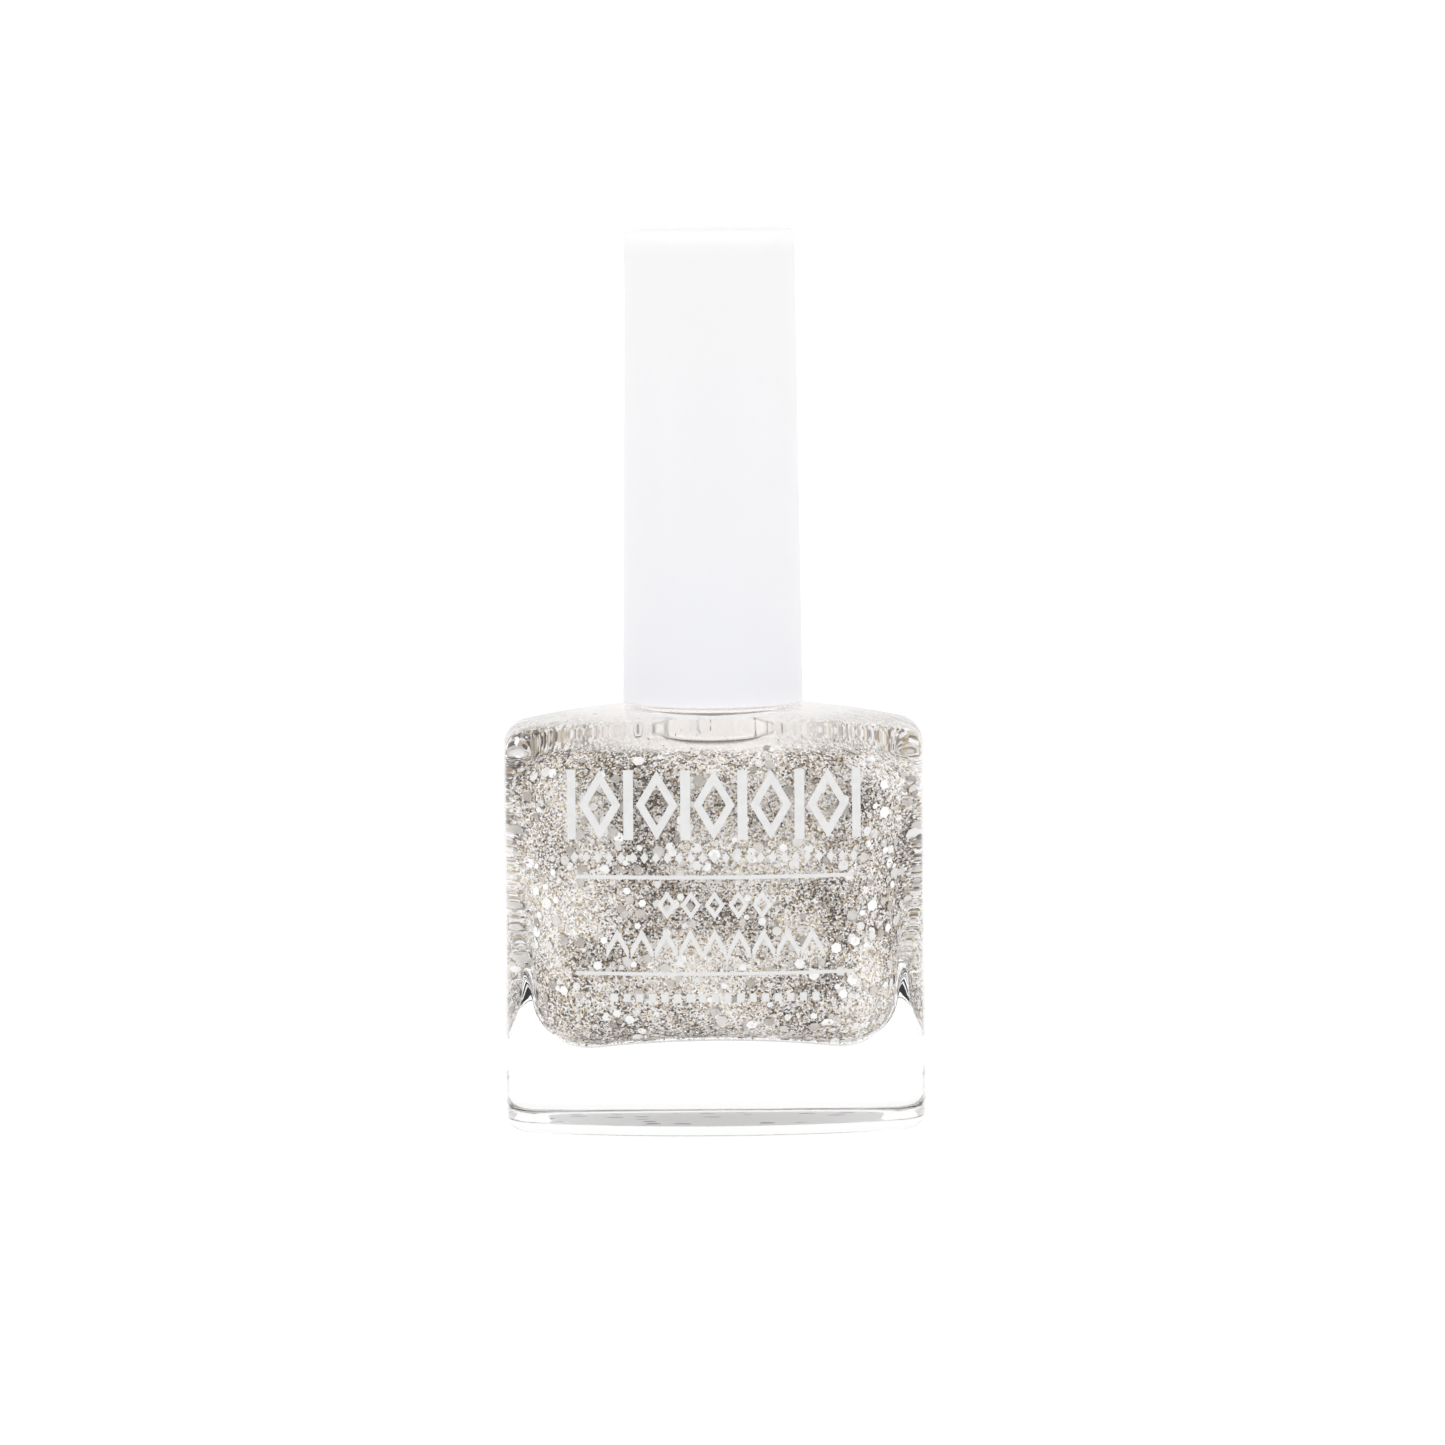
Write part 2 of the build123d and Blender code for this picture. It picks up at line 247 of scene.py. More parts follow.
def cavity_edge(gap, roof):
    """Rows round the cavity's roof edge, from roof to wall, or floor edge, from wall to floor,
    for a cavity made smaller by gap all over."""
    inset = WALL_TOP + WALL_SLOPE * WALL_TOP_HEIGHT + gap * math.hypot(1, WALL_SLOPE)
    if roof:
        return dome_fillet(
            inset, ROOF_EDGE_RADIUS - gap, ROOF_APEX - gap, ROOF_DOME_RADIUS - gap, True,
            CAVITY_EDGE_STEPS, INSIDE, WALL_SLOPE,
        )[::-1]
    return dome_fillet(
        inset, FLOOR_EDGE_RADIUS - gap, FLOOR_APEX + gap, FLOOR_DOME_RADIUS + gap, False,
        CAVITY_EDGE_STEPS, INSIDE, WALL_SLOPE,
    )


def between_rows(first, second, shares):
    """Rows part of the way from one row to another."""
    return [first + (second - first) * share for share in shares]


def over_dome(first, second, shares, apex, radius):
    """Rows between two rows, lying on a dome."""
    rows = []
    for share in shares:
        flat = first[:, :2] + (second[:, :2] - first[:, :2]) * share
        rows.append(flat_row(flat, dome_height(flat, apex, radius)))
    return rows


def spread(count, edge=0.03):
    """Shares between 0 and 1, even but for one more near each end."""
    inner = [step / count for step in range(1, count)]
    return [edge] + inner + [1 - edge]


# ---------------------------------------------------------------- mesh helpers

def piece_from(name, vertices, faces, body, materials, slots=None, smooth=True):
    """A mesh piece in the frame, riding on a body."""
    mesh = bpy.data.meshes.new(name)
    mesh.from_pydata((np.asarray(vertices) * MM).tolist(), [], faces)
    for material in materials:
        mesh.materials.append(material)
    if slots is not None:
        mesh.polygons.foreach_set("material_index", slots)
    mesh.polygons.foreach_set("use_smooth", [smooth] * len(mesh.polygons))
    mesh.validate()
    mesh.update()
    piece = bpy.data.objects.new(name, mesh)
    bpy.context.scene.collection.objects.link(piece)
    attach(piece, body)
    return piece


def skin(rows, start_pole, end_pole):
    """Vertices and faces of a surface through rows that close round, with a fan at each pole."""
    count = len(rows[0])
    vertices = np.concatenate(rows)
    faces = []
    for row in range(len(rows) - 1):
        low, high = row * count, (row + 1) * count
        for column in range(count):
            after = (column + 1) % count
            faces.append((low + column, low + after, high + after, high + column))
    pole, last = len(vertices), (len(rows) - 1) * count
    faces += [(pole, (c + 1) % count, c) for c in range(count)]
    faces += [(pole + 1, last + c, last + (c + 1) % count) for c in range(count)]
    return np.vstack([vertices, start_pole, end_pole]), faces


# ---------------------------------------------------------------- materials

WHITE = (1.0, 1.0, 1.0, 1.0)
NO_TILT = (0.5, 0.5, 0.5, 1.0)
DRY_GLASS_IOR = 1.5
WET_GLASS_IOR = 1.035


class Nodes:
    """Short calls for building a material's node tree."""

    def __init__(self, name):
        self.material = bpy.data.materials.new(name)
        self.material.use_nodes = True
        self.tree = self.material.node_tree
        self.shader = self.tree.nodes["Principled BSDF"]
        self.output = self.tree.nodes["Material Output"]

    def add(self, kind, inputs=None, **settings):
        node = self.tree.nodes.new(kind)
        for key, value in settings.items():
            setattr(node, key, value)
        for key, value in (inputs or {}).items():
            self.put(node.inputs[key], value)
        return node

    def put(self, socket, value):
        if isinstance(value, bpy.types.NodeSocket):
            self.tree.links.new(value, socket)
        else:
            socket.default_value = value

    def set(self, **values):
        for key, value in values.items():
            self.put(self.shader.inputs[key.replace("_", " ")], value)

    def vector(self, operation, a, b):
        return self.add("ShaderNodeVectorMath", {0: a, 1: b}, operation=operation).outputs[0]

    def place(self):
        """Object coordinates in millimetres."""
        source = self.add("ShaderNodeTexCoord").outputs["Object"]
        return self.vector("MULTIPLY", source, (1 / MM,) * 3)

    def axes(self, where):
        return self.add("ShaderNodeSeparateXYZ", {0: where}).outputs

    def channels(self, colour):
        return self.add("ShaderNodeSeparateColor", {0: colour}).outputs

    def noise(self, scale, detail=3.0, roughness=0.5, where=None):
        return self.add(
            "ShaderNodeTexNoise",
            {"Vector": where or self.place(), "Scale": scale, "Detail": detail,
             "Roughness": roughness},
        ).outputs["Fac"]

    def cells(self, scale, where=None):
        return self.add("ShaderNodeTexVoronoi", {"Vector": where or self.place(), "Scale": scale})

    def ramp(self, factor, stops):
        """A ramp through (position, colour or grey) stops."""
        node = self.add("ShaderNodeValToRGB", {"Fac": factor})
        ramp = node.color_ramp
        while len(ramp.elements) < len(stops):
            ramp.elements.new(0.5)
        for element, (position, colour) in zip(ramp.elements, stops):
            element.position = position
            element.color = opaque(colour if isinstance(colour, tuple) else (colour,) * 3)
        return node.outputs["Color"]

    def math(self, operation, a, b=0.0, clamp=False):
        return self.add(
            "ShaderNodeMath", {0: a, 1: b}, operation=operation, use_clamp=clamp
        ).outputs[0]

    def mix(self, factor, a, b):
        node = self.add("ShaderNodeMix", data_type="RGBA")
        colours = [s for s in node.inputs if s.type == "RGBA"]
        self.put(node.inputs["Factor"], factor)
        self.put(colours[0], a)
        self.put(colours[1], b)
        return [s for s in node.outputs if s.type == "RGBA"][0]

    def step(self, value, low, high, low_result=0.0, high_result=1.0):
        """A smooth step from one result to another between two values."""
        return self.add(
            "ShaderNodeMapRange", {"Value": value, "From Min": low, "From Max": high,
                                   "To Min": low_result, "To Max": high_result},
            interpolation_type="SMOOTHSTEP",
        ).outputs[0]

    def bump(self, height, distance, strength):
        """Bump with its distance in millimetres."""
        return self.add(
            "ShaderNodeBump",
            {"Height": height, "Distance": distance * MM, "Strength": strength},
        ).outputs["Normal"]


def rgb(red, green, blue):
    """Linear colour from 0 to 255 screen values."""
    def linear(value):
        share = value / 255
        return share / 12.92 if share <= 0.04045 else ((share + 0.055) / 1.055) ** 2.4
    return linear(red), linear(green), linear(blue)


def opaque(colour):
    """A colour with full alpha."""
    return (*colour, 1.0)


def glass_material(name, ior):
    """Clear, slightly rippled glass that lets lamp light through to what is inside it."""
    n = Nodes(name)
    ripple = n.noise(0.16, 2.0, 0.4)
    n.set(
        Base_Color=WHITE, Roughness=0.0, IOR=ior, Transmission_Weight=1.0,
        Normal=n.bump(ripple, 0.05, 0.35),
    )
    path = n.add("ShaderNodeLightPath")
    soft = n.math("MAXIMUM", path.outputs["Is Shadow Ray"], path.outputs["Is Diffuse Ray"])
    clear = n.add("ShaderNodeBsdfTransparent", {"Color": WHITE})
    both = n.add(
        "ShaderNodeMixShader", {0: soft, 1: n.shader.outputs[0], 2: clear.outputs[0]}
    )
    n.put(n.output.inputs["Surface"], both.outputs[0])
    return n.material


def scattered_normal(n, colour, strength):
    """The surface normal, thrown about by a random colour per cell or flake."""
    shift = n.vector("SUBTRACT", colour, NO_TILT[:3])
    scaled = n.vector("MULTIPLY", shift, (strength,) * 3)
    normal = n.add("ShaderNodeNewGeometry").outputs["Normal"]
    total = n.vector("ADD", normal, scaled)
    return n.add("ShaderNodeVectorMath", {0: total}, operation="NORMALIZE").outputs[0]


# Cells per millimetre of each layer of glitter, the painted glints among them
FINE_CELLS, FINER_CELLS, GLINT_CELLS, CHIP_CELLS = 6.6, 12.0, 3.7, 1.9
FINER_SHARE = 0.14
DRIFT_SCALE, DRIFT_MIDDLE, DRIFT_STRENGTH = 0.14, 0.515, 1.9
WARM_SCALE, WARM_PULL, WARM_LEVEL = 0.13, 0.5, 0.98
CHIP_REACH, CHIP_LEVEL, CHIP_COVER = 0.34, 0.8, 0.8
# Painted glints: near-white dots standing in for flakes that catch the light
GLINT_REACH, GLINT_LEVEL, GLINT_COVER = 0.3, 0.42, 0.95
GLITTER_METAL = 0.35
GLITTER_TILT = 0.9

# Where the lacquer looks clear and is painted pale, as painted light for the bright see-through
# pocket under the cap: by distance from the axis, and by height
CLEAR_REACH = (8.5, 12.5)
CLEAR_SHARES = (0.94, 0.55)
CLEAR_HEIGHTS = (32.1, 33.0)

# Glitter colours from dark to white: the glitter's own greys, and in part painted shade in the gaps
# between flakes at the dark end and painted glints at the white end
GLITTER_SHADES = [
    (0.0, rgb(54, 46, 41)), (0.16, rgb(104, 95, 88)), (0.32, rgb(174, 166, 160)),
    (0.5, rgb(224, 219, 216)), (0.7, rgb(248, 246, 245)), (1.0, rgb(255, 255, 255)),
]
CHAMPAGNE_SHADES = [
    (0.0, rgb(110, 90, 68)), (0.25, rgb(176, 154, 124)), (0.6, rgb(222, 204, 174)),
    (1.0, rgb(252, 244, 226)),
]
HEX_SHADES = [
    (0, rgb(168, 160, 152)), (0.35, rgb(222, 218, 214)), (0.7, rgb(250, 249, 248)),
    (1, rgb(255, 255, 255)),
]

# The height at which the cap's colour starts to go over to its lit top colour, and over how much
# height it does: painted light, the top painted lighter and warmer where light falls on it
LIT_TOP_START, LIT_TOP_RISE = 38.0, 36.0


def lacquer_material():
    """Dense fine glitter in lacquer: cells with their own colour and tilt, whose darkest and
    brightest shades are in part painted shade between flakes and painted glints; near-white painted
    glints;
    and a few large chips. Under the shoulder, where the lacquer looks clear, it turns pale and
    smooth: painted light for the see-through pocket there."""
    n = Nodes("glitter_lacquer_look")
    where = n.place()
    fine = n.cells(FINE_CELLS, where).outputs
    finer = n.cells(FINER_CELLS, where).outputs
    speck = n.cells(GLINT_CELLS, where).outputs
    chip = n.cells(CHIP_CELLS, where).outputs
    shade = n.channels(fine["Color"])
    grain = n.channels(finer["Color"])
    glint_chance = n.channels(speck["Color"])
    chips = n.channels(chip["Color"])
    drift = n.math("SUBTRACT", n.noise(DRIFT_SCALE, 4.0, 0.6, where), DRIFT_MIDDLE)
    value = n.math(
        "ADD", n.math("MULTIPLY", shade[0], 1 - FINER_SHARE),
        n.math("MULTIPLY", grain[0], FINER_SHARE),
    )
    value = n.math("ADD", value, n.math("MULTIPLY", drift, DRIFT_STRENGTH), True)
    warm = n.math("MULTIPLY", n.noise(WARM_SCALE, 2.0, 0.5, where), WARM_PULL)
    is_warm = n.math("GREATER_THAN", n.math("ADD", shade[1], warm), WARM_LEVEL)
    colour = n.mix(is_warm, n.ramp(value, GLITTER_SHADES), n.ramp(value, CHAMPAGNE_SHADES))
    is_chip = n.math(
        "MULTIPLY", n.math("LESS_THAN", chip["Distance"], CHIP_REACH),
        n.math("GREATER_THAN", chips[1], CHIP_LEVEL),
    )
    chip_colour = n.ramp(chips[2], GLITTER_SHADES[2:])
    colour = n.mix(n.math("MULTIPLY", is_chip, CHIP_COVER), colour, chip_colour)
    # Painted glints: near-white dots, more of them where the drift is lighter
    is_painted_glint = n.math(
        "MULTIPLY", n.math("LESS_THAN", speck["Distance"], GLINT_REACH),
        n.math("GREATER_THAN", n.math("ADD", glint_chance[1], drift), GLINT_LEVEL),
    )
    colour = n.mix(n.math("MULTIPLY", is_painted_glint, GLINT_COVER), colour, opaque(rgb(254, 253, 251)))
    clear_and_lit = clear_and_lit_share(n, where)
    # Painted light: the clear zone is painted pale for the light seen through it.
    colour = n.mix(clear_and_lit, colour, opaque(rgb(250, 246, 242)))
    tilt = n.mix(is_chip, fine["Color"], chip["Color"])
    tilt = n.mix(clear_and_lit, tilt, NO_TILT)
    metal = n.math("SUBTRACT", GLITTER_METAL, n.math("MULTIPLY", clear_and_lit, GLITTER_METAL))
    n.set(
        Base_Color=colour, Metallic=metal, Roughness=n.ramp(shade[2], [(0, 0.22), (1, 0.55)]),
        Normal=scattered_normal(n, tilt, GLITTER_TILT),
    )
    return n.material


def clear_and_lit_share(n, where):
    """How clear the lacquer looks under the shoulder. Its paleness there is painted light, standing
    in for the bright see-through pocket under the cap.
    """
    axes = n.axes(where)
    across = n.math("ADD", n.math("POWER", axes["X"], 2.0), n.math("POWER", axes["Y"], 2.0))
    inner = n.step(n.math("SQRT", across), *CLEAR_REACH, *CLEAR_SHARES)
    return n.math("MULTIPLY", inner, n.step(axes["Z"], *CLEAR_HEIGHTS))


def surface_material():
    """The lacquer's free surface: wet and smooth. Its pale colour and glow are painted light,
    standing in for the light the liquid scatters up into the shade under the cap.
    """
    n = Nodes("lacquer_surface_look")
    where = n.place()
    tone = n.ramp(
        n.channels(n.cells(5.0, where).outputs["Color"])[0],
        [(0.0, rgb(214, 205, 199)), (0.5, rgb(240, 236, 233)), (1.0, rgb(254, 252, 252))],
    )
    # Pale colour and emission: painted light for the light the lacquer scatters under the cap
    n.set(
        Base_Color=tone, Roughness=0.12, Emission_Color=opaque(rgb(235, 229, 225)),
        Emission_Strength=0.68,
        Normal=n.bump(n.noise(0.8, 2.0, 0.5, where), 0.01, 0.4),
    )
    return n.material


def flake_material(name, shades, metallic):
    """Glitter flakes, each with its own shade and a little wear."""
    n = Nodes(name)
    chance = n.add("ShaderNodeNewGeometry").outputs["Random Per Island"]
    hue = n.add("ShaderNodeTexWhiteNoise", {"W": chance}, noise_dimensions="1D").outputs["Value"]
    wear = n.noise(1.6, 2.0, 0.6)
    worn = n.math("MULTIPLY", n.math("SUBTRACT", wear, 0.5), 0.3)
    shade = n.math("ADD", hue, worn, True)
    n.set(
        Base_Color=n.ramp(shade, shades), Metallic=metallic,
        Roughness=n.ramp(chance, [(0, 0.2), (1, 0.42)]),
    )
    return n.material


def plastic_material(name, colour, roughness, grain=0.5, depth=0.004, glow=0.0, lit_top_colour=None):
    """Moulded plastic: faint tone drift, fine grain and slightly uneven gloss. With a lit top
    colour,
    the tone goes over to it up the part: painted light, the top painted lighter where light falls."""
    n = Nodes(name)
    tone = n.noise(0.05, 2.0, 0.5)
    if lit_top_colour:
        # Painted light: up the part the colour goes over to the lighter, warmer lit top colour.
        height = n.math("SUBTRACT", n.axes(n.place())["Z"], LIT_TOP_START)
        rise = n.math("MULTIPLY", height, 1 / LIT_TOP_RISE, True)
        tone = n.math("ADD", rise, n.math("MULTIPLY", n.math("SUBTRACT", tone, 0.5), 0.3), True)
    other = lit_top_colour or tuple(c * 0.97 for c in colour)
    speck = n.noise(14.0 * grain, 2.0, 0.6)
    gloss = n.noise(0.4, 3.0, 0.6)
    n.set(
        Base_Color=n.mix(tone, opaque(colour), opaque(other)),
        Roughness=n.ramp(gloss, [(0.3, roughness - 0.04), (0.7, roughness + 0.05)]),
        Normal=n.bump(speck, depth, 0.6), IOR=1.49,
    )
    if glow:
        n.set(Subsurface_Weight=glow, Subsurface_Radius=(1.0, 0.95, 0.9), Subsurface_Scale=0.0012)
    return n.material


def ink_material():
    """Opaque screen-printed ink: matt, with a faint mesh texture and thin spots."""
    n = Nodes("print_ink_look")
    mesh_mark = n.cells(9.0)
    thin = n.noise(1.3, 4.0, 0.6)
    n.set(
        Base_Color=n.mix(
            n.ramp(thin, [(0.35, 0.0), (0.75, 1.0)]), opaque(rgb(225, 225, 225)),
            opaque(rgb(217, 216, 215)),
        ),
        Roughness=0.5, Normal=n.bump(mesh_mark.outputs["Distance"], 0.004, 0.5),
    )
    return n.material


def steel_material(name, colour, roughness):
    """Polished or rolled metal with fine scratches."""
    n = Nodes(name)
    scratch = n.noise(26.0, 2.0, 0.7)
    n.set(
        Base_Color=n.mix(n.noise(0.9), opaque(colour), opaque(tuple(c * 0.86 for c in colour))),
        Metallic=1.0, Roughness=n.ramp(scratch, [(0.3, roughness), (0.8, roughness + 0.18)]),
        Normal=n.bump(scratch, 0.002, 0.5),
    )
    return n.material


def label_material():
    """Matt film label with a few broken grey marks in place of its print. Its faint glow is painted
    light, standing in for light through the film from the floor below.
    """
    n = Nodes("base_label_look")
    where = n.place()
    mark = n.cells(0.75, n.vector("MULTIPLY", where, (0.55, 1.3, 1.0))).outputs
    dash = n.math(
        "MULTIPLY", n.math("LESS_THAN", mark["Distance"], 0.3),
        n.math("GREATER_THAN", n.channels(mark["Color"])[0], 0.62),
    )
    paper = n.mix(n.noise(3.0), opaque(rgb(238, 238, 238)), opaque(rgb(226, 226, 227)))
    # Emission: painted light for light reaching the label through the film from below
    n.set(
        Base_Color=n.mix(dash, paper, opaque(rgb(120, 120, 124))), Roughness=0.6,
        Emission_Color=opaque(rgb(246, 246, 246)), Emission_Strength=0.05,
        Normal=n.bump(n.noise(8.0), 0.003, 0.5),
    )
    return n.material


def bristle_material():
    """Nylon filaments, each a little different, wet with lacquer."""
    n = Nodes("bristle_look")
    chance = n.add("ShaderNodeNewGeometry").outputs["Random Per Island"]
    height = n.axes(n.place())["Z"]
    wet = n.ramp(n.math("MULTIPLY", height, 0.03), [(0.3, 0.12), (0.9, 0.4)])
    n.set(
        Base_Color=n.ramp(
            chance, [(0, rgb(150, 142, 132)), (0.5, rgb(196, 190, 182)), (1, rgb(228, 225, 220))]
        ),
        Roughness=wet, Coat_Weight=0.5, Coat_Roughness=0.1,
    )
    return n.material


# ---------------------------------------------------------------- glass

def thread_height(height):
    """How far the thread stands out of the neck at each column, at one height."""
    stands = np.zeros(COLUMNS)
    foot_half, crest_half = THREAD_WIDTHS[0] / 2, THREAD_WIDTHS[1] / 2
    full = THREAD_CREST_RADIUS - NECK_RADIUS
    slope = (full + THREAD_FOOT_DEPTH) / (foot_half - crest_half)
    for lap in range(2):
        turn = TURNS + lap
        fade = np.clip(np.minimum(turn, THREAD_TURNS - turn) / THREAD_FADE_TURNS, 0, 1)
        crest = fade * full - (1 - fade) * THREAD_FOOT_DEPTH / 2
        away = np.abs(height - THREAD_START - THREAD_PITCH * turn)
        rise = np.minimum(crest, crest - (away - crest_half) * slope)
        stands = np.maximum(stands, np.where(turn <= THREAD_TURNS, rise, 0.0))
    return stands


def corner_rows(centre_radius, centre_height, radius, start, end, steps):
    """Rows of a rounded edge on a round part, between two angles in degrees."""
    rows = []
    for step in range(steps + 1):
        angle = math.radians(start + (end - start) * step / steps)
        rows.append(round_row(
            centre_radius + radius * math.cos(angle), centre_height + radius * math.sin(angle)
        ))
    return rows


def glass_rows():
    """Rows over the glass from the middle of the push-up, round the outside, to the floor.
    Also the number of the first row that the lacquer wets."""
    rows = []
    ceiling = PUSH_UP_HEIGHT - LABEL_CONTACT
    ceiling_edge = flat_row(plan(PUSH_UP_INSET + PUSH_UP_EDGE_RADIUS, INSIDE), ceiling)
    rows += [flat_row(ceiling_edge[:, :2] * share, ceiling)
             for share in (0.05, 0.25, 0.5, 0.75, 0.92, 0.99)]
    for step in range(7):
        angle = math.pi / 2 * step / 6
        inset = PUSH_UP_INSET + PUSH_UP_EDGE_RADIUS * (1 - math.sin(angle))
        drop = PUSH_UP_EDGE_RADIUS * (1 - math.cos(angle))
        rows.append(flat_row(plan(inset, INSIDE), ceiling - drop))
    for step in range(5):
        angle = math.pi / 2 * step / 4
        inset = PUSH_UP_INSET - SOFT_EDGE_RADIUS * (1 - math.cos(angle))
        height = SOFT_EDGE_RADIUS * (1 - math.sin(angle))
        rows.append(flat_row(plan(inset, INSIDE), height))
    sole_inner = plan(PUSH_UP_INSET - SOFT_EDGE_RADIUS, INSIDE)
    sole_outer = plan(BASE_EDGE_RADIUS)
    for share in (0.06, 0.5, 0.94):
        rows.append(flat_row(sole_inner + (sole_outer - sole_inner) * share, 0.0))
    for step in range(11):
        angle = math.pi / 2 * step / 10
        inset = BASE_EDGE_RADIUS * (1 - math.sin(angle))
        rows.append(flat_row(plan(inset), BASE_EDGE_RADIUS * (1 - math.cos(angle))))

    shoulder = dome_fillet(
        0.0, SHOULDER_EDGE_RADIUS, SHOULDER_APEX, SHOULDER_DOME_RADIUS, True, 12
    )
    rows += between_rows(rows[-1], shoulder[0], spread(7, 0.01))
    rows += shoulder

    root_reach = NECK_RADIUS + NECK_ROOT_RADIUS
    dome_centre = SHOULDER_APEX - SHOULDER_DOME_RADIUS
    root_height = dome_centre + math.sqrt(
        (SHOULDER_DOME_RADIUS + NECK_ROOT_RADIUS) ** 2 - root_reach**2
    )
    lean = math.degrees(math.atan2(root_height - dome_centre, root_reach))
    root = corner_rows(root_reach, root_height, NECK_ROOT_RADIUS, lean + 180, 180, 7)
    rows += over_dome(shoulder[-1], root[0], spread(14, 0.02), SHOULDER_APEX, SHOULDER_DOME_RADIUS)
    rows += root

    thread_low = THREAD_START - THREAD_WIDTHS[0]
    thread_high = THREAD_START + THREAD_PITCH * THREAD_TURNS + THREAD_WIDTHS[0]
    rows += between_rows(rows[-1], round_row(NECK_RADIUS, thread_low), (0.05, 0.5))
    count = round((thread_high - thread_low) / THREAD_ROW_STEP)
    for step in range(count + 1):
        height = thread_low + (thread_high - thread_low) * step / count
        rows.append(round_row(NECK_RADIUS + thread_height(height), height))

    rim = corner_rows(
        NECK_RADIUS - RIM_EDGE_RADIUS, RIM_HEIGHT - RIM_EDGE_RADIUS, RIM_EDGE_RADIUS, 0, 90, 6
    )
    rows += between_rows(rows[-1], rim[0], (0.5, 0.95)) + rim
    lip = corner_rows(
        NECK_BORE_RADIUS + SOFT_EDGE_RADIUS, RIM_HEIGHT - SOFT_EDGE_RADIUS, SOFT_EDGE_RADIUS,
        90, 180, 4,
    )
    rows += between_rows(rim[-1], lip[0], (0.05, 0.95)) + lip

    mouth_radius = NECK_BORE_RADIUS + NECK_FLARE_RADIUS
    mouth_height = ROOF_APEX - mouth_radius**2 / (2 * ROOF_DOME_RADIUS)
    bell = corner_rows(
        mouth_radius, mouth_height + NECK_FLARE_RADIUS, NECK_FLARE_RADIUS, 180, 270, 12
    )
    rows += between_rows(rows[-1], bell[0], (0.02, 0.3, 0.6, 0.98)) + bell

    shore = round_row(SHORE_RADIUS, FILL_HEIGHT)
    roof_edge = cavity_edge(0.0, True)
    rows += over_dome(bell[-1], shore, (0.1, 0.5), ROOF_APEX, ROOF_DOME_RADIUS)
    first_wet = len(rows)
    rows.append(shore)
    rows += over_dome(shore, roof_edge[0], spread(14, 0.02), ROOF_APEX, ROOF_DOME_RADIUS)
    rows += roof_edge
    floor_edge = cavity_edge(0.0, False)
    rows += between_rows(roof_edge[-1], floor_edge[0], spread(6, 0.01)) + floor_edge
    middle = round_row(POLE_RADIUS, 0.0)
    rows += over_dome(floor_edge[-1], middle, spread(14, 0.02), FLOOR_APEX, FLOOR_DOME_RADIUS)
    return rows, first_wet


def make_glass():
    """The whole bottle in one skin. Its wetted faces bend light less, as lacquer is behind them."""
    rows, first_wet = glass_rows()
    vertices, faces = skin(rows, (0, 0, PUSH_UP_HEIGHT - LABEL_CONTACT), (0, 0, FLOOR_APEX))
    fan_start = (len(rows) - 1) * COLUMNS
    wet = [
        int(first_wet * COLUMNS <= number < fan_start or number >= fan_start + COLUMNS)
        for number in range(len(faces))
    ]
    looks = [
        glass_material("clear_glass_look", DRY_GLASS_IOR),
        glass_material("wetted_glass_look", WET_GLASS_IOR),
    ]
    glass = piece_from("glass_shell", vertices, faces, "bottle", looks, wet)
    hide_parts("glass_bottle")


# ---------------------------------------------------------------- lacquer and glitter

def lacquer_rows():
    """Rows over the lacquer from the middle of its free surface, out and down to the floor.
    Also the number of the free surface's last row."""
    gap = GLITTER_DEPTH
    rows = []
    level = FILL_HEIGHT - SURFACE_DROP
    inner = (POLE_RADIUS, 1.0, STEM_RADIUS, 1.72, 1.82, 2.0, 2.3, 2.8, 3.6, 4.8)
    outer = [SHORE_RADIUS - back for back in (4.0, 2.5, 1.6, 1.0, 0.6, 0.3, 0.0)]
    for radius in [*inner, *outer]:
        near_stem = math.exp(-max(0.0, radius - STEM_RADIUS) / STEM_MENISCUS[1])
        near_roof = math.exp(-(SHORE_RADIUS - radius) / SHORE_MENISCUS[1])
        rise = near_stem * STEM_MENISCUS[0] + near_roof * SHORE_MENISCUS[0]
        rows.append(round_row(radius, level + rise))
    last_open = len(rows) - 1
    roof_edge = cavity_edge(gap, True)
    start = round_row(SHORE_RADIUS + 1.0, 0.0)
    start = flat_row(
        start[:, :2], dome_height(start[:, :2], ROOF_APEX - gap, ROOF_DOME_RADIUS - gap)
    )
    rows += between_rows(rows[-1], start, (0.12, 0.4, 0.75))
    rows.append(start)
    rows += over_dome(start, roof_edge[0], spread(10), ROOF_APEX - gap, ROOF_DOME_RADIUS - gap)
    rows += roof_edge
    floor_edge = cavity_edge(gap, False)
    rows += between_rows(roof_edge[-1], floor_edge[0], spread(6)) + floor_edge
    middle = round_row(POLE_RADIUS, 0.0)
    rows += over_dome(
        floor_edge[-1], middle, spread(12), FLOOR_APEX + gap, FLOOR_DOME_RADIUS + gap
    )
    return rows, last_open


def make_lacquer():
    """The liquid, a glitter's depth inside the glass, with its own look on its free surface."""
    rows, last_open = lacquer_rows()
    top = rows[0][0][2]
    vertices, faces = skin(rows, (0, 0, top), (0, 0, FLOOR_APEX + GLITTER_DEPTH))
    if not outward(vertices, faces):
        faces = [tuple(reversed(face)) for face in faces]
    fan_start = (len(rows) - 1) * COLUMNS
    free = [
        int(number < last_open * COLUMNS or fan_start <= number < fan_start + COLUMNS)
        for number in range(len(faces))
    ]
    looks = [lacquer_material(), surface_material()]
    body = piece_from("lacquer_body", vertices, faces, "bottle", looks, free)
    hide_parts("lacquer")


def outward(vertices, faces):
    """True if the faces enclose a positive volume."""
    total = 0.0
    for face in faces:
        a, b, c = (vertices[i] for i in face[:3])
        total += np.dot(a, np.cross(b, c))
        if len(face) == 4:
            a, b, c = vertices[face[0]], vertices[face[2]], vertices[face[3]]
            total += np.dot(a, np.cross(b, c))
    return total > 0


